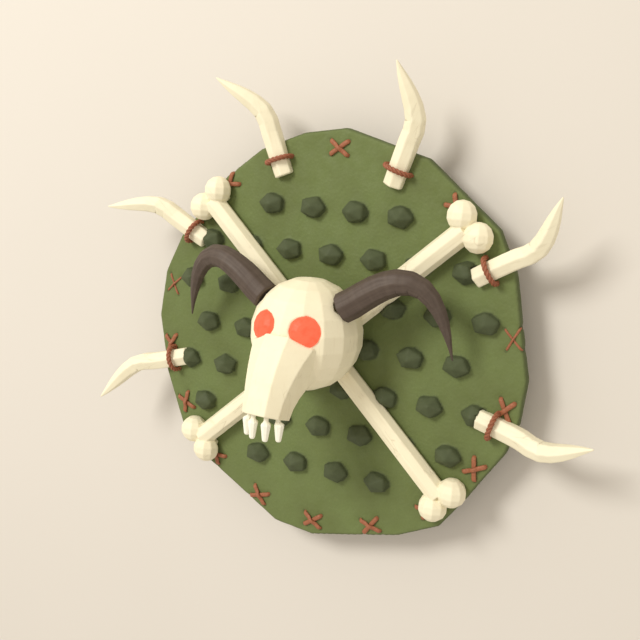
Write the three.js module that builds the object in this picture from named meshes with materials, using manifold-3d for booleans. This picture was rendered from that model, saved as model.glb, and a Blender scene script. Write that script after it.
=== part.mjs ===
// A round hide buckler, trophy style: a thick scaly hide disc dressed with two crossed long bones,
// a horned animal skull over their crossing, six tusks lashed round the rim and laced crosses
// between them.  It lies on its back.  +Z is out of the front face, +Y is the shield's top,
// and the origin is the middle of the hide's back face.  Lengths are millimetres.

import * as THREE from 'three';
import { mergeVertices } from 'three/addons/utils/BufferGeometryUtils.js';
import Module from 'manifold-3d';

const wasm = await Module();
wasm.setup();

// ---------------------------------------------------------------- driving dimensions

const GAP = 0.3;                  // clearance between pieces that touch
const HIDE_THICK = 12.6;          // the hide disc
const HIDE_BEVEL = 2.2;           // pared edge, front and back
const MARK_R = 30;                // compass line that the maker scribed round the middle of the back
const MARK_WIDTH = 1.6;
const MARK_DEEP = 0.6;
const MARK_SIDES = 9;
const FRONT = HIDE_THICK;         // height of the front face
const SEAT = FRONT + GAP;         // where the pieces that lie on the hide begin
const TALL = 400;                 // more than the whole shield's height
const WIDE = 1000;                // more than its width

// The rim was hewn in short straight cuts: [direction in degrees, distance from the middle].
const RIM_CORNERS = [
  [-1, 225], [26.5, 226], [38, 230.5], [64, 229], [88.5, 231], [101, 227.5], [115.5, 224.5],
  [129.5, 220], [154.5, 221.5], [167, 226], [181, 227], [198.5, 225], [215.5, 230], [230, 225],
  [257.5, 229], [270, 228.5], [297.5, 226.5], [310, 232.5], [321.5, 225], [338.5, 227], [347.5, 227],
];

const SCUTE_R = 12.9;             // knobbly scutes of the hide, across their row
const SCUTE_OVAL = 1.28;          // length, along the row, over width
const SCUTE_TALL = 1.1;           // height over width
const SCUTE_RISE = 0.6;           // their middles stand this much over the front face
const SCUTE_ROOT = 3;             // how far they reach down into the hide
const SCUTE_TURN = 2.4;           // radians from row to row: no two scutes lie alike
const SCUTE_NEXT_TURN = 1.9;      // radians from one scute to the next
const SCUTE_TIP = 0.5;            // radians
const SCUTE_TIP_VARIES = 0.3;
const SCUTE_PITCH = 50.9;         // along a row
const SCUTE_ROW = 48.3;           // from row to row
const SCUTE_ROWS = [              // [row number, scutes in the row]
  [3, 4], [2, 7], [1, 8], [0, 7], [-1, 8], [-2, 7], [-3, 4],
];

const LACE_CIRCLE = 210;          // circle that the laced crosses sit on
const LACE_STEP = 20;             // degrees from one place to the next
const LACE_R = 2.6;               // lace radius
const LACE_ARM = 14;              // half length of one arm
const LACE_SPLAY = 54;            // each arm's angle from the line out to the rim
const LACE_PATCH_ROOM = 1;        // spare room round a laced cross in what lies over it
const LACE_PATCH_SIDES = 10;
const LACED_PLACES = [0, 2, 4, 5, 6, 7, 8, 9, 10, 11, 12, 13, 14, 16];   // the others hold tusks

const BONE_ANGLE = 43;            // each bone's slope from the X axis
const BONE_HALF = 210;            // middle of the bone to its pair of knuckles
const BONE_Z = 21;                // height of the bone's middle line
const SHAFT_R = 12.3;
const SHAFT_SIDES = 8;
const KNUCKLE_R = 15.9;
const KNUCKLE_FACETS = [10, 7];   // round, and from end to end
const KNUCKLE_OFFSET = 13.8;      // each knuckle's distance from the bone's middle line

const CRANIUM_R = 60;
const CRANIUM = new THREE.Vector3(0, 16.6, 58.2);
const CRANIUM_FACETS = [16, 11];
const MUZZLE_PATH = [[6.3, 84.4], [-16.6, 122.5], [-56, 134]];    // [y, z], a quadratic curve
const MUZZLE_HALF = 21.2;         // half width at the nose end
const MUZZLE_FLARE = 17.6;        // how much wider, each side, at the root
const MUZZLE_FLARE_LATE = 1.4;    // how quickly that dies away
const MUZZLE_TALL = 1.04;         // half height over half width
const MUZZLE_SIDE = 0.52;         // flat part of each side, over the half height
const MUZZLE_TOP = 0.5;           // flat top over the nose's half width, and how much more at the root
const MUZZLE_TOP_FLARE = 0.12;
const MUZZLE_STEPS = 6;
const CORNER_GROWS = 0.4;         // a chamfer's corner moves this much of the growth along its flat
const MUZZLE_BROW = [[0, -0.745, 0.667], 61.5];   // plane that the muzzle begins at: its normal and distance
const EYE = new THREE.Vector3(23, 29, 106);
const EYE_R = 16.2;               // across its face
const EYE_DEPTH = 8;              // half its thickness
const EYE_LID = [[12.7, 24.6, 118.6], [34.6, 12.9, 107.6]];   // line that cuts its lower edge straight
const EYE_FACETS = [12, 6];

// The horn's middle line is a cubic curve; these are the right horn's four points.
const HORN_PATH = [[44.1, 51.3, 71], [69.1, 62.2, 66.6], [133.1, 144.5, 74.3], [157.1, 11.8, 43.9]];
const HORN_R = 16.2;
const HORN_TAPER = 1.84;          // how late the horn narrows
const HORN_TIP_R = 0.7;
const HORN_SIDES = 8;
const HORN_STEPS = 13;
const HORN_PEG_R = 9.5;
const HORN_PEG = 15;              // length of the peg that holds the horn in the skull
const HORN_PEG_OUT = 4;           // how far the peg runs on inside the horn

const TOOTH_PLACES = [[-18.3, 137.3], [-7.4, 144.9], [7.4, 144.9], [18.3, 137.3]];   // [x, z]
const TOOTH_TOP = -60;            // y of the crown's top
const TOOTH_ROOT = [13, 3];       // the root's y range over it
const TOOTH_ROOT_R = 2.6;
const TOOTH_LEAN = 1.8;           // the outer teeth's roots stand this much nearer the middle
const TOOTH_SIDES = 8;
const TOOTH_SHAPE = [             // [y from the crown's top, radius], from the neck to the tip
  [0.3, 5], [-0.7, 5.3], [-16, 3.1], [-17.5, 2.2],
];

const TUSK_DIRECTIONS = [30, 70, 110, 150, 195, 345];
const TUSK_PATH = [               // [outward, anticlockwise, height] before it is turned into place
  [187.1, -1.3, 13.6], [204.8, -0.6, 15.4], [232, 0, 18.4], [258.3, 0.2, 25.5], [304.1, 33.6, 48.9],
];
const TUSK_R = 11.6;
const TUSK_TAPER = 4.6;
const TUSK_TIP = 0.06;            // tip radius over the full radius
const TUSK_SIDES = 6;
const TUSK_STEPS = 11;
const LASH_PLACE = 0.25;          // the lashing sits at the second point of the tusk's path
const LASH_R = 2.6;
const LASH_ARCH = [13.8, 11.9];     // half width and height of the cord's arch over the tusk
const LASH_LIFT = 3;              // the arch springs from this much over the tusk's middle line
const LASH_STEPS = 8;             // short straight runs over the arch
const CORD_SIDES = 6;             // sides of a lashing or a lace

const STRAP_DROP = 28;            // clear height inside each strap
const STRAP_THICK = 3.2;
const STRAP_FLAT = 38;            // half length of the straight part
const STRAP_SLOPE = 22;           // length over which it rises to the hide
const STRAP_TAB = 27;             // sewn-down end
const STRAPS = [                  // [name, x of its middle, width]
  ['grip_strap', 66, 30], ['arm_strap', -62, 40],
];

// ---------------------------------------------------------------- materials

const finish = (color, roughness) => new THREE.MeshStandardMaterial({ color, roughness, metalness: 0 });
const HIDE = finish(0x707d4c, 0.8);
const LACE = finish(0xb06244, 0.75);
const BONE = finish(0xf3e7c3, 0.6);
const HORN = finish(0x5c4c41, 0.5);
const TOOTH = finish(0xfafae1, 0.4);
const EYE_STONE = finish(0xff6e50, 0.2);
const STRAP = finish(0x6b4430, 0.7);

// ---------------------------------------------------------------- solids and meshes

function toSolid(geometry) {
  const bare = geometry.clone();
  bare.deleteAttribute('normal');
  bare.deleteAttribute('uv');
  const merged = mergeVertices(bare, 1e-4);
  const corners = merged.index.array;
  const triangles = [];
  for (let i = 0; i < corners.length; i += 3) {
    const [a, b, c] = [corners[i], corners[i + 1], corners[i + 2]];
    if (a !== b && b !== c && c !== a) {
      triangles.push(a, b, c);
    }
  }
  return new wasm.Manifold(new wasm.Mesh({
    numProp: 3,
    vertProperties: new Float32Array(merged.attributes.position.array),
    triVerts: new Uint32Array(triangles),
  }));
}

function toMesh(solid, name, material) {
  const { vertProperties, triVerts, numProp } = solid.getMesh();
  const position = new Float32Array((vertProperties.length / numProp) * 3);
  for (let i = 0; i < position.length / 3; i += 1) {
    position.set(vertProperties.subarray(i * numProp, i * numProp + 3), i * 3);
  }
  const geometry = new THREE.BufferGeometry();
  geometry.setAttribute('position', new THREE.BufferAttribute(position, 3));
  geometry.setIndex(new THREE.BufferAttribute(new Uint32Array(triVerts), 1));
  geometry.computeVertexNormals();
  const mesh = new THREE.Mesh(geometry, material);
  mesh.name = name;
  return mesh;
}

// A solid through rings of equally many points, each ring closed by a fan at the two ends.
function loft(rings) {
  const count = rings[0].length;
  const points = rings.flat();
  const middles = [rings[0], rings.at(-1)].map((ring) => ring
    .reduce((sum, p) => sum.add(p), new THREE.Vector3())
    .divideScalar(count));
  points.push(...middles);
  const faces = [];
  const last = (rings.length - 1) * count;
  for (let k = 0; k < count; k += 1) {
    const n = (k + 1) % count;
    for (let row = 0; row < last; row += count) {
      faces.push(row + k, row + n, row + count + n);
      faces.push(row + k, row + count + n, row + count + k);
    }
    faces.push(last + count, n, k);
    faces.push(last + count + 1, last + k, last + n);
  }
  const geometry = new THREE.BufferGeometry().setFromPoints(points);
  geometry.setIndex(faces);
  return toSolid(geometry);
}

// A ring across a path, with one corner towards +Z.
function ring(middle, along, radius, sides) {
  const side = new THREE.Vector3(0, 0, 1).cross(along).normalize();
  const up = along.clone().cross(side).normalize();
  const first = Math.PI / 2;
  return Array.from({ length: sides }, (_, k) => {
    const turn = first + (2 * Math.PI * k) / sides;
    return middle.clone()
      .addScaledVector(side, radius * Math.cos(turn))
      .addScaledVector(up, radius * Math.sin(turn));
  });
}

function taperedTube(curve, radiusAt, sides, steps) {
  const rings = [];
  for (let i = 0; i <= steps; i += 1) {
    const s = i / steps;
    rings.push(ring(curve.getPointAt(s), curve.getTangentAt(s), radiusAt(s), sides));
  }
  return loft(rings);
}

function straightTube(from, to, radius, sides) {
  return taperedTube(new THREE.LineCurve3(from, to), () => radius, sides, 1);
}

function ball(middle, radius, around, rows) {
  const geometry = new THREE.SphereGeometry(radius, around, rows);
  geometry.translate(middle.x, middle.y, middle.z);
  return toSolid(geometry);
}

// Everything over, or with a negative depth under, the given height.
function slab(height, depth) {
  const geometry = new THREE.BoxGeometry(WIDE, WIDE, Math.abs(depth));
  geometry.translate(0, 0, height + depth / 2);
  return toSolid(geometry);
}

const mirrored = (solid) => solid.mirror([1, 0, 0]);
const all = (solids) => solids.reduce((sum, solid) => sum.add(solid));
const aboveSeat = (solid) => solid.intersect(slab(SEAT, TALL));
const degrees = THREE.MathUtils.degToRad;
const vec = (x, y, z) => new THREE.Vector3(x, y, z);
const polar = (angle, r, z) => vec(r * Math.cos(degrees(angle)), r * Math.sin(degrees(angle)), z);

// ---------------------------------------------------------------- bones

// A long bone with two knuckles at each end; grow swells it to cut clearance in its neighbours.
function bone(slope, grow = 0) {
  const half = BONE_HALF - KNUCKLE_R / 3;
  const ends = [polar(slope + 180, half, BONE_Z), polar(slope, half, BONE_Z)];
  const shaft = straightTube(...ends, SHAFT_R + grow, SHAFT_SIDES);
  const knuckles = [0, 180].flatMap((end) => [-1, 1].map((side) => {
    const middle = polar(slope + end, BONE_HALF, BONE_Z)
      .add(polar(slope + 90, side * KNUCKLE_OFFSET, 0));
    return ball(middle, KNUCKLE_R + grow, ...KNUCKLE_FACETS);
  }));
  return all([shaft, ...knuckles]);
}

// The two bones are half-lapped where they cross, so both lie flat on the hide.
function crossedBones() {
  const [low, high] = [BONE_ANGLE, -BONE_ANGLE].map((slope) => bone(slope));
  const [lowGrown, highGrown] = [BONE_ANGLE, -BONE_ANGLE].map((slope) => bone(slope, GAP));
  const over = slab(BONE_Z - GAP / 2, TALL);
  const under = slab(BONE_Z + GAP / 2, -TALL);
  return {
    low: low.subtract(highGrown.intersect(over)),
    high: high.subtract(lowGrown.intersect(under)),
    grown: lowGrown.add(highGrown),
  };
}

// ---------------------------------------------------------------- laced crosses

// Two short rods of lace that cross.
function laceCross(middle, turn, grow = 0) {
  return all([-LACE_SPLAY, LACE_SPLAY].map((slope) => {
    const arm = polar(turn + slope, LACE_ARM + grow, 0);
    return straightTube(middle.clone().sub(arm), middle.clone().add(arm), LACE_R + grow, CORD_SIDES);
  }));
}

const lacePlaces = LACED_PLACES.map((place) => 90 + LACE_STEP * place);
const laceAt = (angle, grow) => laceCross(polar(angle, LACE_CIRCLE, SEAT + LACE_R), angle, grow);

// The round patch that one laced cross covers: what lies over it is relieved to clear it.
function lacePatch(angle) {
  const height = 2 * LACE_R + GAP;
  const reach = LACE_ARM + GAP + LACE_PATCH_ROOM;
  const geometry = new THREE.CylinderGeometry(reach, reach, height, LACE_PATCH_SIDES);
  geometry.rotateX(Math.PI / 2);
  geometry.translate(...polar(angle, LACE_CIRCLE, SEAT + height / 2).toArray());
  return toSolid(geometry);
}

// ---------------------------------------------------------------- tusks and their lashings

const tuskCurve = new THREE.CatmullRomCurve3(TUSK_PATH.map((p) => vec(...p)));

function tusk(direction, grow = 0) {
  const radiusAt = (s) => TUSK_R * Math.max(1 - s ** TUSK_TAPER, TUSK_TIP) + grow;
  return taperedTube(tuskCurve, radiusAt, TUSK_SIDES, TUSK_STEPS).rotate([0, 0, direction]);
}

// One turn of cord over the tusk, with both ends running down into the hide.
function lashing(direction, grow = 0) {
  const middle = tuskCurve.getPoint(LASH_PLACE);
  const [reach, rise] = LASH_ARCH;
  const foot = SEAT - 3 * LASH_R;
  const onArch = (side, height) => vec(middle.x, middle.y + side, height);
  const turns = Array.from({ length: LASH_STEPS + 1 }, (_, i) => (Math.PI * i) / LASH_STEPS);
  const points = [
    onArch(reach, foot),
    ...turns.map((a) => onArch(reach * Math.cos(a), middle.z + LASH_LIFT + rise * Math.sin(a))),
    onArch(-reach, foot),
  ];
  const rings = points.map((p, i) => {
    const before = points[Math.max(i - 1, 0)];
    const after = points[Math.min(i + 1, points.length - 1)];
    const along = after.clone().sub(before).normalize();
    const across = vec(1, 0, 0);
    const out = across.clone().cross(along);
    return Array.from({ length: CORD_SIDES }, (_, k) => {
      const turn = (2 * Math.PI * k) / CORD_SIDES;
      return p.clone()
        .addScaledVector(out, (LASH_R + grow) * Math.cos(turn))
        .addScaledVector(across, (LASH_R + grow) * Math.sin(turn));
    });
  });
  return aboveSeat(loft(rings).rotate([0, 0, direction]));
}

// ---------------------------------------------------------------- skull

const cranium = (grow = 0) => ball(CRANIUM, CRANIUM_R + grow, ...CRANIUM_FACETS);

// The muzzle is a chamfered square tube that narrows and curls forward.
function muzzle(grow = 0) {
  const [root, bend, nose] = MUZZLE_PATH.map(([y, z]) => vec(0, y, z));
  const curve = new THREE.QuadraticBezierCurve3(root, bend, nose);
  const rings = [];
  for (let i = 0; i <= MUZZLE_STEPS; i += 1) {
    const t = i / MUZZLE_STEPS;
    const along = curve.getTangent(t);
    const up = vec(1, 0, 0).cross(along).negate();
    const half = MUZZLE_HALF + MUZZLE_FLARE * (1 - t) ** MUZZLE_FLARE_LATE;
    const flat = MUZZLE_HALF * (MUZZLE_TOP + MUZZLE_TOP_FLARE * (1 - t)) + grow * CORNER_GROWS;
    const wide = half + grow;
    const tall = half * MUZZLE_TALL + grow;
    const side = half * MUZZLE_TALL * MUZZLE_SIDE + grow * CORNER_GROWS;
    const outline = [
      [flat, tall], [-flat, tall], [-wide, side], [-wide, -side],
      [-flat, -tall], [flat, -tall], [wide, -side], [wide, side],
    ];
    const middle = curve.getPoint(t).addScaledVector(along, i === MUZZLE_STEPS ? grow : 0);
    rings.push(outline.map(([x, n]) => middle.clone().add(vec(x, 0, 0)).addScaledVector(up, n)));
  }
  const [normal, distance] = MUZZLE_BROW;
  return loft(rings).trimByPlane(normal, distance - grow);
}

// A domed stone, set square to the cranium's surface and cut off straight above the muzzle's root.
function eyeStone(side, grow = 0) {
  const outward = EYE.clone().sub(CRANIUM).normalize();
  const geometry = new THREE.SphereGeometry(1, ...EYE_FACETS);
  geometry.rotateX(Math.PI / 2);
  geometry.scale(EYE_R + grow, EYE_R + grow, EYE_DEPTH + grow);
  geometry.applyQuaternion(new THREE.Quaternion().setFromUnitVectors(vec(0, 0, 1), outward));
  geometry.translate(...EYE.toArray());
  const [inner, outer] = EYE_LID.map((p) => vec(...p));
  const kept = outward.clone().cross(outer.sub(inner)).normalize();
  const stone = toSolid(geometry).trimByPlane(kept.toArray(), kept.dot(inner) - grow);
  return side > 0 ? stone : mirrored(stone);
}

// A peg-shaped tooth: a slim root that goes up into the jaw, and a crown that narrows to its tip.
function tooth([x, z], grow = 0) {
  const outer = Math.abs(x) > MUZZLE_HALF / 2;
  const rootX = outer ? x - Math.sign(x) * TOOTH_LEAN : x;
  const stations = [                                    // [x, y, radius]
    ...TOOTH_ROOT.map((y) => [rootX, TOOTH_TOP + y, TOOTH_ROOT_R]),
    ...TOOTH_SHAPE.map(([y, r]) => [x, TOOTH_TOP + y, r]),
  ];
  const down = vec(0, -1, 0);
  return loft(stations.map(([cx, cy, r]) => ring(vec(cx, cy, z), down, r + grow, TOOTH_SIDES)));
}

const hornCurve = new THREE.CubicBezierCurve3(...HORN_PATH.map((p) => vec(...p)));

// A curled horn, saddled to the skull, on a peg of its own that sits in the bone.
function horn() {
  const radiusAt = (s) => Math.max(HORN_R * (1 - s ** HORN_TAPER), HORN_TIP_R);
  const body = taperedTube(hornCurve, radiusAt, HORN_SIDES, HORN_STEPS);
  return body.subtract(cranium(GAP)).add(hornPeg());
}

function hornPeg(grow = 0) {
  const foot = hornCurve.getPointAt(0);
  const along = hornCurve.getTangentAt(0);
  const inner = foot.clone().addScaledVector(along, -HORN_PEG - grow);
  const outer = foot.clone().addScaledVector(along, HORN_PEG_OUT);
  return straightTube(inner, outer, HORN_PEG_R + grow, HORN_SIDES);
}

function skull(bonesGrown) {
  const hornSeat = hornPeg(GAP);
  return cranium()
    .subtract(eyeStone(1, GAP))
    .subtract(eyeStone(-1, GAP))
    .add(muzzle())
    .subtract(hornSeat)
    .subtract(mirrored(hornSeat))
    .subtract(all(TOOTH_PLACES.map((place) => tooth(place, GAP))))
    .subtract(bonesGrown)
    .intersect(slab(SEAT, TALL));
}

// ---------------------------------------------------------------- the hide disc

function hideBoard() {
  const corners = RIM_CORNERS.map(([angle, r]) => new THREE.Vector2(
    r * Math.cos(degrees(angle)),
    r * Math.sin(degrees(angle)),
  ));
  const geometry = new THREE.ExtrudeGeometry(new THREE.Shape(corners), {
    depth: HIDE_THICK - 2 * HIDE_BEVEL,
    bevelThickness: HIDE_BEVEL,
    bevelSize: HIDE_BEVEL,
    bevelOffset: -HIDE_BEVEL,
    bevelSegments: 1,
  });
  geometry.translate(0, 0, HIDE_BEVEL);
  return toSolid(geometry);
}

// A shallow groove round the middle of the back: what is left inside it is a flat round face.
function compassLine() {
  const [outer, inner] = [1, -1].map((side) => {
    const r = MARK_R + (side * MARK_WIDTH) / 2;
    const geometry = new THREE.CylinderGeometry(r, r, side > 0 ? 2 * MARK_DEEP : TALL, MARK_SIDES);
    return toSolid(geometry.rotateX(Math.PI / 2));
  });
  return outer.subtract(inner);
}

// Scutes stand in staggered rows; each lump is turned its own way.
function scutes() {
  const lumps = [];
  for (const [row, count] of SCUTE_ROWS) {
    for (let i = 0; i < count; i += 1) {
      const x = (i - (count - 1) / 2) * SCUTE_PITCH;
      const y = row * SCUTE_ROW;
      const turn = row * SCUTE_TURN + i * SCUTE_NEXT_TURN;
      const geometry = new THREE.IcosahedronGeometry(SCUTE_R, 0);
      geometry.rotateX(SCUTE_TIP + SCUTE_TIP_VARIES * Math.sin(turn * 3));
      geometry.rotateZ(turn);
      geometry.scale(SCUTE_OVAL, 1, SCUTE_TALL);
      geometry.translate(x, y, FRONT + SCUTE_RISE);
      lumps.push(toSolid(geometry));
    }
  }
  return all(lumps).intersect(slab(FRONT - SCUTE_ROOT, TALL));
}

// ---------------------------------------------------------------- hand and arm straps

// A stiff leather strap that stands off the back far enough for a hand or an arm.
function strap(x, width) {
  const outer = STRAP_DROP + STRAP_THICK + GAP;
  const half = [
    [STRAP_FLAT + STRAP_SLOPE + STRAP_TAB, -GAP],
    [STRAP_FLAT + STRAP_SLOPE - STRAP_THICK / 2, -GAP],
    [STRAP_FLAT - STRAP_THICK / 2, -outer + STRAP_THICK],
  ];
  const back = [
    [STRAP_FLAT, -outer],
    [STRAP_FLAT + STRAP_SLOPE, -GAP - STRAP_THICK],
    [STRAP_FLAT + STRAP_SLOPE + STRAP_TAB, -GAP - STRAP_THICK],
  ];
  const mirror = (list) => list.map(([y, z]) => [-y, z]).reverse();
  const profile = [...half, ...mirror(half), ...mirror(back), ...back];
  const shape = new THREE.Shape(profile.map(([y, z]) => new THREE.Vector2(y, z)));
  const geometry = new THREE.ExtrudeGeometry(shape, { depth: width, bevelEnabled: false });
  geometry.rotateX(Math.PI / 2);
  geometry.rotateZ(Math.PI / 2);
  geometry.translate(x - width / 2, 0, 0);
  return toSolid(geometry);
}

function strapLacing(x, side) {
  const y = side * (STRAP_FLAT + STRAP_SLOPE + STRAP_TAB / 2);
  return laceCross(vec(x, y, -STRAP_THICK - 2 * GAP - LACE_R), 0);
}

// ---------------------------------------------------------------- the whole shield

const shield = new THREE.Group();
const place = (solid, name, material) => shield.add(toMesh(solid, name, material));

const bones = crossedBones();
const lacesGrown = all(lacePlaces.map((angle) => laceAt(angle, GAP)));
const tusksGrown = all(TUSK_DIRECTIONS.map((direction) => tusk(direction, GAP)));
const lacePatches = all(lacePlaces.map(lacePatch));
const lashesGrown = all(TUSK_DIRECTIONS.map((direction) => lashing(direction, GAP)));

const clearScutes = [bones.grown, lacesGrown, tusksGrown, lashesGrown, cranium(GAP)]
  .reduce((solid, cutter) => solid.subtract(cutter), scutes());
place(hideBoard().add(clearScutes).subtract(compassLine()), 'hide_disc', HIDE);

lacePlaces.forEach((angle, i) => place(laceAt(angle), `lace_cross_${i + 1}`, LACE));

place(aboveSeat(bones.low).subtract(lacePatches), 'bone_rising', BONE);
place(aboveSeat(bones.high).subtract(lacePatches), 'bone_falling', BONE);

place(skull(bones.grown), 'skull', BONE);
place(horn(), 'horn_right', HORN);
place(mirrored(horn()), 'horn_left', HORN);
place(eyeStone(1).subtract(muzzle(GAP)), 'eye_right', EYE_STONE);
place(eyeStone(-1).subtract(muzzle(GAP)), 'eye_left', EYE_STONE);
TOOTH_PLACES.forEach((at, i) => place(tooth(at), `tooth_${i + 1}`, TOOTH));

TUSK_DIRECTIONS.forEach((direction, i) => {
  place(aboveSeat(tusk(direction)).subtract(lacesGrown), `tusk_${i + 1}`, BONE);
  place(lashing(direction).subtract(lacePatches), `lashing_${i + 1}`, LACE);
});

for (const [name, x, width] of STRAPS) {
  place(strap(x, width), name, STRAP);
  place(strapLacing(x, 1), `${name}_lacing_top`, LACE);
  place(strapLacing(x, -1), `${name}_lacing_bottom`, LACE);
}

export default shield;
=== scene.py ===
# %% [markdown]
# # A trophy buckler of scaly hide, bone and horn
#
# A buckler is a small round shield. This one is a thick disc of reptile hide, and its owner has
# dressed it with hunting trophies: two long bones crossed over the face, the skull of a horned
# animal over their crossing, and six tusks lashed round the rim between crosses of rawhide lace.
# The solids that hold the real sizes are loaded first. The pieces below stand in for them, in
# metres, in the same places.

# %% Load the solids
import math

import bpy
import numpy as np
from mathutils import Matrix, Vector, noise


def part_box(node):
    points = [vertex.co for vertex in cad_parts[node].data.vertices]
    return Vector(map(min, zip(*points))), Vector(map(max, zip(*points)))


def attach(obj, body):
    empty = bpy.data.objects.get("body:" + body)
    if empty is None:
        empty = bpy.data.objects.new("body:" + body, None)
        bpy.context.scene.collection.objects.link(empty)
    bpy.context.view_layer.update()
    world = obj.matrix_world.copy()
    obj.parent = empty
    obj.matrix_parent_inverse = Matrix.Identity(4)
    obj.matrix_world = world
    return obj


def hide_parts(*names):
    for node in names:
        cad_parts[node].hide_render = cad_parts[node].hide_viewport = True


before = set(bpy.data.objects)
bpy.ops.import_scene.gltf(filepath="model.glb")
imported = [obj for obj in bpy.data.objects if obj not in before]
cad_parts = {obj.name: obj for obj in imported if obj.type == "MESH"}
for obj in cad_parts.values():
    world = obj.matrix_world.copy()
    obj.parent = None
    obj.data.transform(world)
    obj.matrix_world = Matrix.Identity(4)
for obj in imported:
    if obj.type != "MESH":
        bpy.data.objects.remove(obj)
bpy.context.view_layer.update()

# %% [markdown]
# ## Where things are
#
# The shield lies on its back on its two carrying straps. The hide's back face is at height zero,
# so the straps reach down to the floor and everything else lies on the hide's front face. The
# heights could be typed in, but they are measured on the solids, so that a change in a solid
# changes every piece that lies on it.

# %% Measure the heights
MM = 0.001
GAP = 0.3 * MM
FLOOR_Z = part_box("arm_strap")[0].z
SEAT_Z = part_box("bone_rising")[0].z
FRONT_Z = SEAT_Z - GAP

# %% [markdown]
# ## The camera
#
# The shield is seen from the front and a little from its right-hand side, with its top up. A Track
# To constraint would aim the camera but not roll it, and the shield's top has to be up in the
# picture though the shield lies flat. So the camera's turn is put together from the directions
# that are across, up and forward for it.

# %% Set up the camera
CAMERA_PLACE = Vector((0.42615, 0.21504, 0.86724))
CAMERA_FORWARD = Vector((-0.44463, -0.19641, -0.87392))
CAMERA_UP = Vector((-0.15207, 0.97805, -0.14244))
CAMERA_LENS = 50

camera = bpy.data.objects.new("camera", bpy.data.cameras.new("camera"))
camera.data.lens = CAMERA_LENS
camera_across = CAMERA_FORWARD.cross(CAMERA_UP).normalized()
camera_upward = camera_across.cross(CAMERA_FORWARD).normalized()
camera_back = -CAMERA_FORWARD.normalized()
camera_turn = Matrix((camera_across, camera_upward, camera_back)).transposed()
camera.matrix_world = Matrix.Translation(CAMERA_PLACE) @ camera_turn.to_4x4()
bpy.context.scene.collection.objects.link(camera)
bpy.context.scene.camera = camera
print("the camera is", round(CAMERA_PLACE.length, 3), "m from the middle of the back")

# %% [markdown]
# ## Reading and writing many points at once
#
# Carved surfaces need tens of thousands of points. A loop over each one is easy to read but slow,
# so Blender's `foreach_get` and `foreach_set` move them in and out of NumPy arrays in one go.


# %% Point helpers
def points_of(mesh):
    found = np.empty(len(mesh.vertices) * 3)
    mesh.vertices.foreach_get("co", found)
    return found.reshape(-1, 3)


def normals_of(mesh):
    found = np.empty(len(mesh.vertices) * 3, np.float32)
    mesh.vertex_normals.foreach_get("vector", found)
    return found.reshape(-1, 3).astype(float)


def edges_of(mesh):
    found = np.empty(len(mesh.edges) * 2, np.int64)
    mesh.edges.foreach_get("vertices", found)
    return found.reshape(-1, 2)


def put_points(mesh, points):
    mesh.vertices.foreach_set("co", points.astype(np.float32).ravel())
    mesh.update()


def note(mesh, name, values):
    """Stores a number, or a vector of three, at each point, for a material to read."""
    values = np.asarray(values, np.float32)
    kind, field = ("FLOAT", "value") if values.ndim == 1 else ("FLOAT_VECTOR", "vector")
    mesh.attributes.new(name, kind, "POINT").data.foreach_set(field, values.ravel())


print("point helpers ready")

# %% [markdown]
# ## Carving and wearing
#
# Hewn bone has flat facets that meet in arrises, and years of handling round the arrises off. A
# bevel would round them all alike. Here a voxel remesh gives a solid an even skin of small
# squares, and each point of it is drawn back onto the solid's flat facets. Averaging each point
# with its neighbours then wears the arrises down and leaves the flats alone. How far a point moved
# shows how sharp the place was: that number is kept as "arris", above zero on an outside corner
# and below zero in an inside one, and the materials use it for polish and dirt.

# %% Carving helpers
ARRIS_FULL = 0.4 * MM


def even_skin(node, voxel):
    """A solid's mesh with an even skin of small squares, drawn back onto its flat facets."""
    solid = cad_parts[node]
    rough = bpy.data.objects.new("rough", solid.data.copy())
    bpy.context.scene.collection.objects.link(rough)
    remesh = rough.modifiers.new("even skin", "REMESH")
    remesh.mode = "VOXEL"
    remesh.voxel_size = voxel
    graph = bpy.context.evaluated_depsgraph_get()
    mesh = bpy.data.meshes.new_from_object(rough.evaluated_get(graph))
    bpy.data.objects.remove(rough)
    mesh.materials.clear()
    facets = [solid.closest_point_on_mesh(vertex.co)[1] for vertex in mesh.vertices]
    put_points(mesh, np.array(facets))
    return mesh


def neighbour_average(points, edges):
    count = np.bincount(edges.ravel(), minlength=len(points))
    total = np.empty_like(points)
    for axis in range(3):
        column = points[:, axis]
        total[:, axis] = np.bincount(edges[:, 0], column[edges[:, 1]], len(points))
        total[:, axis] += np.bincount(edges[:, 1], column[edges[:, 0]], len(points))
    return total / count[:, None]


def wear_down(mesh, rounds):
    """Rounds the arrises off, and notes where they were."""
    edges = edges_of(mesh)
    sharp = points_of(mesh)
    worn = sharp.copy()
    for _ in range(rounds):
        worn += (neighbour_average(worn, edges) - worn) / 2
    put_points(mesh, worn)
    lost = ((sharp - worn) * normals_of(mesh)).sum(1)
    note(mesh, "arris", np.clip(lost / ARRIS_FULL, -1, 1))


print("carving helpers ready")

# %% [markdown]
# ## Small unevenness
#
# No hand-worked surface is true. A Displace modifier could roughen one, but the steps below want
# the same soft noise as plain numbers too. So `uneven` gives the numbers, and `push` moves each
# point along its normal by any such numbers.


# %% Helpers for unevenness
def uneven(points, size, seed):
    """Soft random heights between -1 and 1, in lumps of the given size."""
    shift = Vector((seed * 7.3, seed * 3.1, seed * 5.7))
    return np.array([noise.noise(Vector(p) / size + shift) for p in points])


def push(mesh, heights):
    """Moves each point along its normal."""
    put_points(mesh, points_of(mesh) + normals_of(mesh) * np.asarray(heights)[:, None])


print("helpers for unevenness ready")
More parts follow.
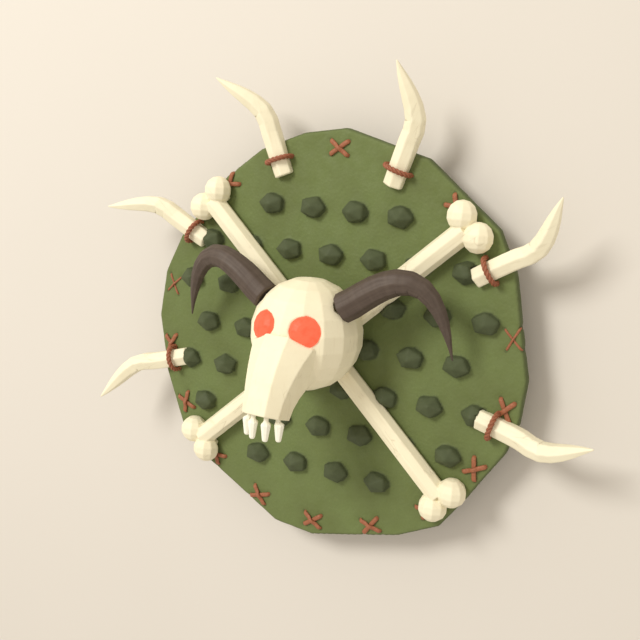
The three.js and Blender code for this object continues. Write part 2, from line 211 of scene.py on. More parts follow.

# %% [markdown]
# ## Adding a piece
#
# A finished mesh becomes one object of the shield. It could be shaded flat to show its facets, but
# the facets and their worn arrises are real geometry, so it is shaded smooth. It is also told what
# it rides on, and which solid it stands for, which hides the plain solid.


# %% Helper that adds a piece
def add_piece(name, mesh, material, slot, *stands_for):
    """Puts a finished mesh into the scene as a piece of the shield."""
    mesh.materials.append(material)
    piece = bpy.data.objects.new(name, mesh)
    bpy.context.scene.collection.objects.link(piece)
    for face in mesh.polygons:
        face.use_smooth = True
    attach(piece, "root")
    if stands_for:
        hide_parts(*stands_for)


print("piece helper ready")

# %% [markdown]
# ## A short way to build materials
#
# A finish is a handful of nodes: patterns that vary a colour, a roughness and a bump. They could
# be placed by hand in the shader editor, but a script keeps every number in sight. These helpers
# add one node each and join it up, so that a finish below reads as a recipe. Patterns use object
# coordinates, which here are the shield's own metres, so a grain keeps its real size.


# %% Material helpers
class Finish:
    """A node material under construction."""

    def __init__(self, name, roughness):
        self.material = bpy.data.materials.new(name)
        self.material.use_nodes = True
        self.tree = self.material.node_tree
        self.shader = self.tree.nodes["Principled BSDF"]
        self.shader.inputs["Roughness"].default_value = roughness
        self.place = self.add("ShaderNodeTexCoord").outputs["Object"]

    def add(self, kind, **settings):
        node = self.tree.nodes.new(kind)
        for name, value in settings.items():
            setattr(node, name, value)
        return node

    def join(self, value, socket):
        """Links an output to a socket, or sets the socket to a plain value."""
        if isinstance(value, bpy.types.NodeSocket):
            self.tree.links.new(value, socket)
        else:
            socket.default_value = value

    def read(self, name, output="Fac"):
        """A number kept at the points, or a vector with output="Vector"."""
        return self.add("ShaderNodeAttribute", attribute_name=name).outputs[output]

    def stretched(self, vector, scale):
        node = self.add("ShaderNodeMapping")
        self.join(vector, node.inputs["Vector"])
        node.inputs["Scale"].default_value = scale
        return node.outputs["Vector"]

    def clouds(self, size, detail, vector=None, roughness=0.5):
        """Soft noise with lumps of the given size in metres."""
        node = self.add("ShaderNodeTexNoise")
        self.join(vector or self.place, node.inputs["Vector"])
        node.inputs["Scale"].default_value = 1 / size
        node.inputs["Detail"].default_value = detail
        node.inputs["Roughness"].default_value = roughness
        return node.outputs["Fac"]

    def cells(self, size, feature="F1", vector=None):
        """Distances in a pattern of cells of the given size in metres."""
        node = self.add("ShaderNodeTexVoronoi", feature=feature)
        self.join(vector or self.place, node.inputs["Vector"])
        node.inputs["Scale"].default_value = 1 / size
        return node.outputs["Distance"]

    def spread(self, value, low, high, to_low=0.0, to_high=1.0):
        """The value moved from the range low to high onto the range to_low to to_high."""
        node = self.add("ShaderNodeMapRange")
        for number, socket in zip((value, low, high, to_low, to_high), node.inputs):
            self.join(number, socket)
        return node.outputs["Result"]

    def maths(self, operation, a, b):
        node = self.add("ShaderNodeMath", operation=operation)
        self.join(a, node.inputs[0])
        self.join(b, node.inputs[1])
        return node.outputs[0]

    def plus(self, a, b):
        return self.maths("ADD", a, b)

    def minus(self, a, b):
        return self.maths("SUBTRACT", a, b)

    def times(self, a, b):
        return self.maths("MULTIPLY", a, b)

    def stripe(self, value, middle, wide):
        """1 where the value is at the middle, fading to 0 where it is further off than wide."""
        off = self.minus(value, middle)
        return self.spread(self.times(off, off), 0.0, wide**2, 1.0, 0.0)

    def blend(self, share, a, b):
        """Colour a where share is 0 and b where it is 1."""
        # A mix node keeps sockets for every kind of value: 6 and 7 in, and 2 out, are the colours.
        node = self.add("ShaderNodeMix", data_type="RGBA")
        for value, socket in ((share, 0), (a, 6), (b, 7)):
            if isinstance(value, tuple):
                value = (*value, 1)
            self.join(value, node.inputs[socket])
        return node.outputs[2]

    def bump(self, height, depth, under=None):
        node = self.add("ShaderNodeBump")
        node.inputs["Distance"].default_value = depth
        self.join(height, node.inputs["Height"])
        if under is not None:
            self.join(under, node.inputs["Normal"])
        return node.outputs["Normal"]

    def done(self, colour, bump, roughness=None, **plain):
        """Joins all to the shader; plain values are the same all over and set on its sockets."""
        self.join(colour, self.shader.inputs["Base Color"])
        self.join(bump, self.shader.inputs["Normal"])
        if roughness is not None:
            self.join(roughness, self.shader.inputs["Roughness"])
        for name, value in plain.items():
            self.shader.inputs[name.replace("_", " ")].default_value = value
        return self.material


print("material helpers ready")

# %% [markdown]
# ## Scaly hide
#
# The disc is one thick hide with knobbly scutes standing out of it in staggered rows. Displacement
# could raise them, but the solid already has them at their real size, so its skin is remeshed. The
# skin between the scutes is worn soft, and the scutes keep their facets. Three numbers are kept at
# each point for the finish: how far it is up a scute, how near to the bare flesh side, and how
# much it belongs to the cut edge.

# %% Remesh the hide
HIDE_VOXEL = 2 * MM
SCUTE_FOOT = 1.2 * MM
FLESH_DEPTH = 2.5 * MM
CUT_GAIN = 1.6

hide_mesh = even_skin("hide_disc", HIDE_VOXEL)
hide_raw = points_of(hide_mesh)
scute = np.clip((hide_raw[:, 2] - FRONT_Z) / SCUTE_FOOT, 0, 1)
note(hide_mesh, "scute", scute)
note(hide_mesh, "flesh", np.clip(1 - hide_raw[:, 2] / FLESH_DEPTH, 0, 1))
wear_down(hide_mesh, 1)
put_points(hide_mesh, np.where(scute[:, None] > 0.5, hide_raw, points_of(hide_mesh)))
# How much each point faces sideways; the finish paints shade on the cut edge by this number.
side_on = 1 - np.abs(normals_of(hide_mesh)[:, 2])
note(hide_mesh, "cut", np.clip(side_on * CUT_GAIN, 0, 1) * (1 - scute))
print("hide:", len(hide_mesh.polygons), "faces,", int((scute > 0.5).sum()), "points on scutes")

# %% [markdown]
# ## Waves and lace holes
#
# No hide dries flat, and each laced thong pulls the hide down round its holes. The waves could be
# sculpted by hand, but noise of two sizes gives them at once. The pull is a dip that fades with
# the distance from the nearest hole. Scutes are too stiff to wave, so they only swell a little.

# %% Lay the waves and the lace holes
LACES = [name for name in sorted(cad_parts) if name.startswith("lace_cross")]
LACE_ARM = 14 * MM
LACE_SPLAY = math.radians(54)
LACE_PULL = 1.1 * MM
LACE_PULL_REACH = 4 * MM
WAVE = 0.5 * MM
WAVE_LONG, WAVE_SHORT = 70 * MM, 25 * MM
SCUTE_SWELL = 0.4 * MM


def lace_ends(node, outward=None):
    """Where the four ends of a laced cross go in; opposite ends are two apart."""
    low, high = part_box(node)
    middle = (low + high) / 2
    if outward is None:
        outward = math.atan2(middle.y, middle.x)
    turns = (-LACE_SPLAY, LACE_SPLAY, math.pi - LACE_SPLAY, math.pi + LACE_SPLAY)
    ways = [Vector((math.cos(outward + a), math.sin(outward + a), 0)) for a in turns]
    return [middle + way * LACE_ARM for way in ways]


def distance_to_nearest(places, points):
    """How far each point is from the nearest of the places, as seen from above."""
    return np.min([np.hypot(points[:, 0] - x, points[:, 1] - y) for x, y, _ in places], axis=0)


holes = [end for node in LACES for end in lace_ends(node)]
pull = np.exp(-((distance_to_nearest(holes, hide_raw) / LACE_PULL_REACH) ** 2))
note(hide_mesh, "hole", pull)
flat = hide_raw * (1, 1, 0)
waves = uneven(flat, WAVE_LONG, 1) + 0.4 * uneven(flat, WAVE_SHORT, 2)
push(hide_mesh, WAVE * waves * (1 - scute) - LACE_PULL * pull + SCUTE_SWELL * scute)
print(len(holes), "lace holes, waves up to", round(WAVE * waves.max() / MM, 2), "mm")

# %% [markdown]
# ## Scutes under the tusks
#
# A tusk can't lie flat on a knobbly hide, so its maker pares the scutes away beneath it. A Boolean
# cut would leave long thin faces. Here the points of the even skin are moved instead: those under
# a tusk go down to the skin, and those just beside the cut are drawn to its edge, which keeps the
# edge crisp.

# %% Pare the scutes where tusks lie on them
TUSK_DIRECTIONS = (30, 70, 110, 150, 195, 345)
TUSK_START = 187.1 * MM
PARED_END = TUSK_START - GAP
PARED_HALF = 10.3 * MM
PARED_LOW = 0.6 * MM


def turned(points, degrees):
    """Points turned about the shield's middle."""
    a = math.radians(degrees)
    turn = np.array([[math.cos(a), math.sin(a), 0], [-math.sin(a), math.cos(a), 0], [0, 0, 1]])
    return points @ turn


def pare_for_tusk(points, direction):
    """Cuts scutes off flat under a tusk; points just beside the cut are drawn to its edge."""
    local = turned(points, -direction)
    high = local[:, 2] > FRONT_Z + PARED_LOW
    inward = PARED_END - local[:, 0]
    beside = np.abs(local[:, 1]) - PARED_HALF
    under = high & (inward < 0) & (beside < 0)
    at_end = high & (inward >= 0) & (inward < HIDE_VOXEL) & (beside < 0)
    at_side = high & (inward < 0) & (beside >= 0) & (beside < HIDE_VOXEL)
    local[under, 2] = FRONT_Z
    local[at_end, 0] = PARED_END
    local[at_side, 1] = np.sign(local[at_side, 1]) * PARED_HALF
    return turned(local, direction)


pared = points_of(hide_mesh)
for direction in TUSK_DIRECTIONS:
    pared = pare_for_tusk(pared, direction)
put_points(hide_mesh, pared)
print("scutes pared under", len(TUSK_DIRECTIONS), "tusks")

# %% [markdown]
# ## Finish of the hide
#
# On a real hide the skin between the scutes is pebbled with small scales, the scutes are darker
# and smoother, and high places are rubbed pale. The bare flesh side is tan and fibrous. Separate
# materials on separate faces would meet in hard steps, so one finish blends between them by the
# numbers kept at the points. It also draws the line that a pair of compasses left on the flesh
# side when the disc was marked out. Shade is painted in too: the cut edge is darkened as a side
# turned from the lamp would be, and each lace hole gets a dark spot of painted shade with a stain
# round it.

# %% Finish of the hide
HIDE_GREEN = (0.148, 0.192, 0.064)
HIDE_OLIVE = (0.122, 0.152, 0.048)
HIDE_RUBBED = (0.26, 0.28, 0.14)
# Painted shade for the cut edge, darker as a side turned from the lamp.
CUT_EDGE_SHADE = (0.075, 0.095, 0.038)
# Painted shade of the lace holes, with some stain round them.
HOLE_SHADE_AND_STAIN = (0.03, 0.03, 0.015)
SCUTE_GREEN = (0.081, 0.100, 0.045)
SCUTE_DARK = (0.060, 0.076, 0.034)
SCUTE_SMOOTH = 0.75
FLESH_TAN = (0.235, 0.185, 0.095)
FLESH_DARK = (0.06, 0.045, 0.025)
PEBBLE = 3.4 * MM
PEBBLE_HIGH = 0.45 * MM
COMPASS_R = 30 * MM
COMPASS_WIDE = 0.8 * MM


def compass_line(f, flesh):
    from_middle = f.add("ShaderNodeVectorMath", operation="LENGTH")
    f.join(f.stretched(f.place, (1, 1, 0)), from_middle.inputs[0])
    return f.times(f.stripe(from_middle.outputs["Value"], COMPASS_R, COMPASS_WIDE), flesh)


def hide_finish():
    f = Finish("scaly_hide", 0.75)
    scute, flesh = f.read("scute"), f.read("flesh")
    skin = f.blend(f.spread(f.clouds(60 * MM, 4), 0.35, 0.7), HIDE_GREEN, HIDE_OLIVE)
    seams = f.cells(PEBBLE, "DISTANCE_TO_EDGE")
    skin = f.blend(f.spread(seams, 0.0, 0.12, 0.35, 0.0), skin, HIDE_OLIVE)
    skin = f.blend(scute, skin, f.blend(f.clouds(9 * MM, 4), SCUTE_GREEN, SCUTE_DARK))
    nap = f.clouds(1.2 * MM, 6)
    skin = f.blend(flesh, skin, f.blend(nap, FLESH_TAN, HIDE_OLIVE))
    rubbed = f.times(f.spread(f.read("arris"), 0.1, 0.9, 0.0, 0.3), f.minus(1, scute))
    skin = f.blend(rubbed, skin, HIDE_RUBBED)
    # Painted shade: the cut edge is darkened as a side turned from the lamp would be, with a
    # little dirt besides.
    skin = f.blend(f.times(f.read("cut"), 0.75), skin, CUT_EDGE_SHADE)
    # Painted shade in and round each lace hole, where the thong goes in, with some stain besides.
    skin = f.blend(f.spread(f.read("hole"), 0.6, 1.0, 0.0, 0.5), skin, HOLE_SHADE_AND_STAIN)
    line = compass_line(f, flesh)
    skin = f.blend(f.times(line, 0.8), skin, FLESH_DARK)
    between = f.spread(scute, 0.0, 1.0, 1.0, 1 - SCUTE_SMOOTH)
    pebbles = f.times(f.cells(PEBBLE, "SMOOTH_F1"), between)
    scales = f.bump(f.minus(pebbles, line), PEBBLE_HIGH)
    fine = f.bump(nap, 0.12 * MM, scales)
    rough = f.spread(f.clouds(12 * MM, 5), 0.3, 0.7, 0.62, 0.86)
    return f.done(skin, fine, rough, Specular_IOR_Level=0.35)


add_piece("scaly_hide", hide_mesh, hide_finish(), "hide", "hide_disc")
print("the hide has its finish, with pebbles of", round(PEBBLE / MM, 1), "mm")

# %% [markdown]
# ## Bone
#
# The two long bones and the skull are dry bone. It is cream, darker and browner where dirt
# settles, paler where hands have rubbed the arrises, with fine pores and a grain of hairline
# cracks that run along its length. Noise in object coordinates would run the same way through
# every bone. So each point stores its place along and across its own bone, and the grain is
# stretched in those directions.

# %% Finish of the bone
BONE_CREAM = (0.90, 0.835, 0.615)
BONE_PALE = (0.95, 0.91, 0.72)
BONE_STAIN = (0.66, 0.55, 0.34)
BONE_DIRT = (0.42, 0.32, 0.18)
BONE_POLISH = 0.18
FIBRE_DEPTH = 0.05 * MM
CRACK_DEPTH = 0.15 * MM


def bone_finish(name, cream, roughness):
    f = Finish(name, roughness)
    grain, run, edge = f.read("grain", "Vector"), f.read("run"), f.read("arris")
    patches = f.spread(f.clouds(28 * MM, 5), 0.42, 0.72, 0.0, 0.5)
    bone = f.blend(patches, cream, f.blend(0.25, cream, BONE_STAIN))
    streaks = f.clouds(3 * MM, 5, f.stretched(grain, (1, 1, 0.08)))
    bone = f.blend(f.times(f.spread(streaks, 0.55, 0.8, 0.0, 0.3), run), bone, BONE_STAIN)
    bone = f.blend(f.spread(edge, 0.1, 0.8, 0.0, 0.6), bone, BONE_PALE)
    bone = f.blend(f.spread(edge, -0.1, -0.9, 0.0, 0.5), bone, BONE_DIRT)
    cracks = f.cells(9 * MM, "DISTANCE_TO_EDGE", f.stretched(grain, (1, 1, 0.12)))
    broken = f.spread(f.clouds(20 * MM, 2), 0.52, 0.6)
    hairline = f.times(f.times(f.spread(cracks, 0.0, 0.02, 1.0, 0.0), broken), run)
    bone = f.blend(f.times(hairline, 0.35), bone, BONE_DIRT)
    pores = f.spread(f.cells(1.6 * MM), 0.0, 0.3, 1.0, 0.0)
    pitted = f.times(pores, f.spread(f.clouds(10 * MM, 3), 0.5, 0.65))
    bone = f.blend(f.times(pitted, 0.3), bone, BONE_STAIN)
    relief = f.bump(f.times(f.minus(streaks, 0.5), run), FIBRE_DEPTH)
    relief = f.bump(f.minus(0, f.plus(hairline, pitted)), CRACK_DEPTH, relief)
    rough = f.spread(edge, 0.0, 0.8, roughness, roughness - BONE_POLISH)
    return f.done(bone, relief, rough, Specular_IOR_Level=0.4)


dry_bone = bone_finish("dry_bone", BONE_CREAM, 0.6)
print("dry bone:", len(dry_bone.node_tree.nodes), "nodes")

# %% [markdown]
# ## The crossed bones
#
# Each is a limb bone with a pair of knuckles at each end, and the two are half-lapped where they
# cross. They could be built of spheres and a tube, but the solids already hold the facets, so
# they are remeshed, worn a little and made slightly uneven. The streaks run along a bone and
# fade where its surface faces along it, as they do on the end of a board.

# %% Carve the crossed bones
BONE_VOXEL = 0.9 * MM
BONE_SLOPE = math.radians(43)
BONE_UNEVEN = 0.07 * MM


def lay_grain(mesh, axis):
    """Stores each point's place across and along the grain, and how well its face runs with it."""
    points = points_of(mesh)
    aside = np.cross((0, 0, 1), axis)
    over = np.cross(axis, aside)
    note(mesh, "grain", np.stack([points @ aside, points @ over, points @ axis], 1))
    note(mesh, "run", (1 - np.abs(normals_of(mesh) @ axis)) ** 2)


for node, slope in (("bone_rising", BONE_SLOPE), ("bone_falling", -BONE_SLOPE)):
    mesh = even_skin(node, BONE_VOXEL)
    wear_down(mesh, 1)
    lay_grain(mesh, np.array([math.cos(slope), math.sin(slope), 0]))
    push(mesh, BONE_UNEVEN * uneven(points_of(mesh), 11 * MM, 3))
    add_piece(f"{node}_carved", mesh, dry_bone, "bone", node)
    print(node, len(mesh.polygons), "faces")

# %% [markdown]
# ## The skull
#
# Braincase and muzzle are one bone, with a socket cut for each eye stone. A socket's lip is thin
# and crosses the little squares of the remesh at a slant, which would give it a saw-toothed edge.
# A finer remesh would cost too many faces, so only the points near a stone are averaged, and
# most strongly where they are nearest.

# %% Carve the skull
SKULL_VOXEL = 1 * MM
EYES = ("eye_right", "eye_left")
SOCKET_LIP = 3 * MM
SOCKET_ROUNDS = 12


def ease_sockets(mesh):
    """Rounds the lips of the eye sockets, so the stones bed against a smooth edge."""
    points = points_of(mesh)
    close = np.zeros(len(points))
    for node in EYES:
        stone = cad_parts[node]
        low, high = (np.array(corner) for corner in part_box(node))
        beside = ((points > low - SOCKET_LIP) & (points < high + SOCKET_LIP)).all(1)
        for k in np.flatnonzero(beside):
            found = np.array(stone.closest_point_on_mesh(Vector(points[k]))[1])
            close[k] = max(close[k], 1 - np.linalg.norm(found - points[k]) / SOCKET_LIP)
    edges = edges_of(mesh)
    share = np.clip(2 * close, 0, 1)[:, None]
    for _ in range(SOCKET_ROUNDS):
        points += share * (neighbour_average(points, edges) - points)
    put_points(mesh, points)
    print("socket lips:", int((close > 0).sum()), "points eased")


skull_mesh = even_skin("skull", SKULL_VOXEL)
wear_down(skull_mesh, 1)
ease_sockets(skull_mesh)
lay_grain(skull_mesh, np.array([0, 1, 0]))
push(skull_mesh, BONE_UNEVEN * uneven(points_of(skull_mesh), 14 * MM, 4))
add_piece("skull_carved", skull_mesh, dry_bone, "bone", "skull")
print("skull", len(skull_mesh.polygons), "faces")

# %% [markdown]
# ## Teeth
#
# Four peg teeth stand out of the jaw. Enamel is smoother and paler than bone, and stained towards
# the root. The stain could be painted on an unwrapped tooth, but it only depends on how far up
# the tooth a place is, so the finish reads that from the place itself.

# %% Carve the teeth
TOOTH_VOXEL = 0.45 * MM
TOOTH_UNEVEN = 0.06 * MM
ENAMEL = (0.96, 0.95, 0.82)
ENAMEL_ROOT = (0.72, 0.62, 0.40)
TEETH = [f"tooth_{i}" for i in range(1, 5)]


def enamel_finish(neck_y, tip_y):
    f = Finish("enamel", 0.35)
    split = f.add("ShaderNodeSeparateXYZ")
    f.join(f.place, split.inputs[0])
    up = f.spread(split.outputs["Y"], tip_y, neck_y)
    streaks = f.clouds(1.2 * MM, 4, f.stretched(f.place, (1, 0.15, 1)))
    stain = f.plus(f.spread(up, 0.6, 1.4), f.spread(streaks, 0.4, 0.7, 0.0, 0.15))
    colour = f.blend(stain, ENAMEL, ENAMEL_ROOT)
    rough = f.spread(streaks, 0.3, 0.7, 0.28, 0.45)
    return f.done(colour, f.bump(streaks, 0.12 * MM), rough, Coat_Weight=0.25)


tooth_low, tooth_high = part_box(TEETH[0])
enamel = enamel_finish(tooth_high.y, tooth_low.y)
for number, node in enumerate(TEETH):
    mesh = even_skin(node, TOOTH_VOXEL)
    wear_down(mesh, 1)
    push(mesh, TOOTH_UNEVEN * uneven(points_of(mesh), 2.5 * MM, 20 + number))
    add_piece(f"{node}_enamel", mesh, enamel, "tooth", node)
print("four teeth,", round((tooth_high.y - tooth_low.y) / MM, 1), "mm long with their roots")

# %% [markdown]
# ## Eye stones
#
# The eyes are low domed stones of bright red-orange, set in sockets cut in the skull, with a
# straight lower edge where the muzzle begins. A stone is honed to a satin, not polished, and has
# faint veins. A real stone lets a little light through, which subsurface scattering could show.
# Here a share of emission makes the stones glow instead, though they are no lamps: painted light
# that keeps their red even whatever the lamp does. Each stone is pushed out by less than half a
# millimetre, so that it beds in its socket without a gap.

# %% Cut and hone the eye stones
EYE_VOXEL = 0.7 * MM
EYE_SNUG = 0.45 * MM
STONE = (1.0, 0.160, 0.078)
STONE_VEIN = (0.95, 0.125, 0.055)
STONE_BODY = 0.28
STONE_GLOW = 0.84
BLACK = (0, 0, 0)


def stone_finish():
    f = Finish("red_stone", 0.4)
    veins = f.clouds(9 * MM, 6, roughness=0.65)
    glow = f.blend(f.spread(veins, 0.48, 0.66, 0.0, 0.8), STONE, STONE_VEIN)
    # Painted light: the veined red is also emitted, so the stones glow though they are no lamps.
    f.join(glow, f.shader.inputs["Emission Color"])
    colour = f.blend(STONE_BODY, BLACK, glow)
    scratches = f.clouds(0.8 * MM, 5, f.stretched(f.place, (1, 0.2, 1)))
    rough = f.spread(scratches, 0.3, 0.8, 0.34, 0.5)
    relief = f.bump(scratches, 0.03 * MM)
    return f.done(colour, relief, rough, Emission_Strength=STONE_GLOW, Specular_IOR_Level=0.15)


red_stone = stone_finish()
for node in EYES:
    mesh = even_skin(node, EYE_VOXEL)
    wear_down(mesh, 2)
    push(mesh, np.full(len(mesh.vertices), EYE_SNUG))
    add_piece(f"{node}_stone", mesh, red_stone, "eye_stone", node)
print("two eye stones")

# %% [markdown]
# ## Sweeping along a line
#
# Horns, tusks, laces and stitches are all a section carried along a line. A curve with a bevel
# does that too, but here one corner of the section has to stay up. `frames_along` finds two
# directions square to the line at each of its points, one of them as near to straight up as it
# can be. `sweep` lays the section out in those two directions, and `mesh_through` puts a skin
# over the rings that this makes.


# %% Sweeping helpers
def directions_along(line):
    along = np.gradient(line, axis=0)
    return along / np.linalg.norm(along, axis=1)[:, None]


def frames_along(line):
    """Directions to the left of and up from each point of a line."""
    along = directions_along(line)
    left = np.cross((0, 0, 1), along)
    left /= np.linalg.norm(left, axis=1)[:, None]
    return left, np.cross(along, left)


def sweep(line, radii, section):
    """Rings of the section, a list of (left, up), scaled by each point's radius."""
    left, up = frames_along(line)
    return (
        line[:, None]
        + left[:, None] * (radii[:, None] * section[:, 0])[..., None]
        + up[:, None] * (radii[:, None] * section[:, 1])[..., None]
    )


def mesh_through(rings):
    """A closed skin through rings that each have equally many points, with a fan at each end."""
    rows, count = rings.shape[:2]
    points = np.vstack([rings.reshape(-1, 3), rings[0].mean(0), rings[-1].mean(0)])
    first, last = rows * count, rows * count + 1
    faces = []
    for k in range(count):
        n = (k + 1) % count
        for row in range(0, (rows - 1) * count, count):
            faces.append((row + k, row + n, row + count + n, row + count + k))
        faces.append((first, n, k))
        faces.append((last, first - count + k, first - count + n))
    mesh = bpy.data.meshes.new("skin")
    mesh.from_pydata(points.tolist(), [], faces)
    return mesh


print("sweeping helpers ready")

# %% [markdown]
# ## Hewn facets along a curve
#
# A horn or a tusk is hewn with a blade, so its facets run straight for a way and then turn. A
# smooth sweep would lose them. So the curve is cut into a few even runs, each run is kept
# straight, and the section is a polygon with a corner up. Extra points along every straight
# side then leave room for wear.

# %% Helpers for hewn facets
SIDE_POINTS = 8


def hewn_section(sides):
    """A regular polygon with a corner straight up, with extra points along each side."""
    turns = np.pi / 2 + 2 * np.pi * np.arange(sides + 1) / sides
    corners = np.stack([np.cos(turns), np.sin(turns)], 1)
    steps = np.arange(SIDE_POINTS)[:, None] / SIDE_POINTS
    return np.vstack([a + (b - a) * steps for a, b in zip(corners, corners[1:])])


def straight_runs(stations, steps):
    """Extra points in straight lines between the stations."""
    shares = np.arange(steps)[:, None] / steps
    runs = [a + (b - a) * shares for a, b in zip(stations, stations[1:])]
    return np.vstack([*runs, stations[-1:]])


def reach_along(line):
    """How far each point of a line is from its start, measured along it."""
    steps = np.linalg.norm(np.diff(line, axis=0), axis=1)
    return np.concatenate([[0], np.cumsum(steps)])


def evenly_along(line, count):
    """The line again, as count + 1 points at equal distances, and its length."""
    reach = reach_along(line)
    wanted = np.linspace(0, reach[-1], count + 1)
    return np.stack([np.interp(wanted, reach, line[:, axis]) for axis in range(3)], 1), reach[-1]


def hewn_mesh(stations, radii, sides, steps):
    """A worn skin of straight facets through the stations, and the line it follows."""
    line = straight_runs(stations, steps)
    radii = straight_runs(radii[:, None], steps)[:, 0]
    mesh = mesh_through(sweep(line, radii, hewn_section(sides)))
    wear_down(mesh, 1)
    return mesh, line


print("helpers for hewn facets ready")

# %% [markdown]
# ## Horn
#
# Horn is dark, satin and fibrous along its length, and it grows in yearly rings, which ridge it
# across. The rings could be modelled one by one, but they are only a tenth of a millimetre deep.
# So each point stores its place along the horn's curve and how deep it lies in a ring's groove,
# and the finish darkens the grooves.

# %% Finish of the horn
HORN_BROWN = (0.096, 0.071, 0.055)
HORN_DARK = (0.075, 0.054, 0.042)
HORN_PALE = (0.135, 0.103, 0.08)


def horn_finish():
    f = Finish("dark_horn", 0.5)
    grain = f.read("grain", "Vector")
    fibres = f.clouds(2.5 * MM, 5, f.stretched(grain, (1, 1, 0.05)))
    bands = f.clouds(7 * MM, 3, f.stretched(grain, (0.1, 0.1, 1)))
    colour = f.blend(f.spread(fibres, 0.35, 0.7), HORN_BROWN, HORN_DARK)
    colour = f.blend(f.spread(bands, 0.45, 0.7, 0.0, 0.25), colour, HORN_PALE)
    colour = f.blend(f.spread(f.read("arris"), 0.2, 0.9, 0.0, 0.4), colour, HORN_PALE)
    colour = f.blend(f.spread(f.read("ring"), 0.3, 1.0, 0.0, 0.3), colour, HORN_DARK)
    rough = f.spread(fibres, 0.3, 0.7, 0.5, 0.66)
    return f.done(colour, f.bump(fibres, FIBRE_DEPTH), rough, Specular_IOR_Level=0.3)


dark_horn = horn_finish()
print("dark horn:", len(dark_horn.node_tree.nodes), "nodes")

# %% [markdown]
# ## Growing the horns
#
# Each horn follows a curve with four control points, and its eight hewn facets bend in straight
# runs. Its root is scribed to the round of the skull. A Boolean would do that too, with ragged
# faces at the cut. Instead every point that would fall deep inside the skull is pushed out until
# it sits just under the bone's surface.

# %% Grow the horns
HORN_LINE = MM * np.array([
    [44.1, 51.3, 71],
    [69.1, 62.2, 66.6],
    [133.1, 144.5, 74.3],
    [157.1, 11.8, 43.9],
])
HORN_R = 16.2 * MM
HORN_TIP_R = 0.7 * MM
HORN_TAPER = 1.84
HORN_SIDES = 8
HORN_RUNS = 13
HORN_STEPS_A_RUN = 14
HORN_CURVE_POINTS = 400
HORN_RING = 9 * MM
HORN_UNEVEN = 0.12 * MM
RING_DEPTH = 0.12 * MM
RING_WOBBLE = 2.5
SKULL_MIDDLE = np.array([0, 16.6, 58.2]) * MM
SKULL_R = 58.6 * MM


def cubic(control, shares):
    t = shares[:, None]
    a, b, c, d = control
    return (1 - t) ** 3 * a + 3 * t * (1 - t) ** 2 * b + 3 * t * t * (1 - t) * c + t**3 * d


def ring_the_horn(mesh, line, length):
    """Lays the grain along the horn's curve, and presses the yearly rings in."""
    points = points_of(mesh)
    near = np.array([np.argmin(((line - p) ** 2).sum(1)) for p in points])
    share = near / (len(line) - 1)
    travel = share * length
    off = points - line[near]
    aside = [(off * way[near]).sum(1) for way in frames_along(line)]
    note(mesh, "grain", np.stack([*aside, travel], 1))
    wobble = RING_WOBBLE * uneven(points, 25 * MM, 5)
    rings = np.cos(travel / HORN_RING * 2 * np.pi + wobble)
    groove = np.clip(rings, 0, 1) ** 6 * np.clip(1.15 - share, 0, 1)
    note(mesh, "ring", groove)
    push(mesh, HORN_UNEVEN * uneven(points, 9 * MM, 6) - RING_DEPTH * groove)


def scribe_to_skull(mesh):
    points = points_of(mesh)
    away = points - SKULL_MIDDLE
    distance = np.linalg.norm(away, axis=1)
    inside = distance < SKULL_R
    points[inside] += away[inside] * (SKULL_R / distance[inside] - 1)[:, None]
    put_points(mesh, points)


horn_shares = np.linspace(0, 1, HORN_RUNS + 1)
horn_radii = np.maximum(HORN_R * (1 - horn_shares**HORN_TAPER), HORN_TIP_R)
for node, side in (("horn_right", 1), ("horn_left", -1)):
    curve = cubic(HORN_LINE, np.linspace(0, 1, HORN_CURVE_POINTS)) * (side, 1, 1)
    stations, length = evenly_along(curve, HORN_RUNS)
    mesh, line = hewn_mesh(stations, horn_radii, HORN_SIDES, HORN_STEPS_A_RUN)
    ring_the_horn(mesh, line, length)
    scribe_to_skull(mesh)
    add_piece(f"{node}_grown", mesh, dark_horn, "horn", node)
    print(node, round(length / MM), "mm along its curve,", len(mesh.polygons), "faces")

# %% [markdown]
# ## Tusks
#
# Six tusks of one shape lie on the hide and curl the same way round the rim. A tusk's line is a
# smooth curve through five points, which are easier to measure than the control points of a
# Bezier. Ivory is denser than bone, so it takes the finish of bone a little warmer and smoother.
# The underside is flat where it lies on the hide.

# %% Shape the tusks
TUSK_LINE = MM * np.array([
    [187.1, -1.3, 13.6],
    [204.8, -0.6, 15.4],
    [232, 0, 18.4],
    [258.3, 0.2, 25.5],
    [304.1, 33.6, 48.9],
])
TUSK_R = 11.6 * MM
TUSK_TAPER = 4.6
TUSK_TIP = 0.06
TUSK_SIDES = 6
TUSK_RUNS = 11
TUSK_STEPS_A_RUN = 10
TUSK_SPAN_POINTS = 60
TUSK_UNEVEN = 0.1 * MM
IVORY_CREAM = (0.90, 0.84, 0.625)


def through(points, steps):
    """A smooth centripetal curve through the points."""
    ends = np.vstack([2 * points[0] - points[1], points, 2 * points[-1] - points[-2]])
    line = []
    for p0, p1, p2, p3 in zip(ends, ends[1:], ends[2:], ends[3:]):
        t1 = np.linalg.norm(p1 - p0) ** 0.5
        t2 = t1 + np.linalg.norm(p2 - p1) ** 0.5
        t3 = t2 + np.linalg.norm(p3 - p2) ** 0.5
        t = np.linspace(t1, t2, steps, endpoint=False)[:, None]
        a1 = p0 + (p1 - p0) * t / t1
        a2 = p1 + (p2 - p1) * (t - t1) / (t2 - t1)
        a3 = p2 + (p3 - p2) * (t - t2) / (t3 - t2)
        b1 = a1 + (a2 - a1) * t / t2
        b2 = a2 + (a3 - a2) * (t - t1) / (t3 - t1)
        line.append(b1 + (b2 - b1) * (t - t1) / (t2 - t1))
    return np.vstack([*line, points[-1:]])


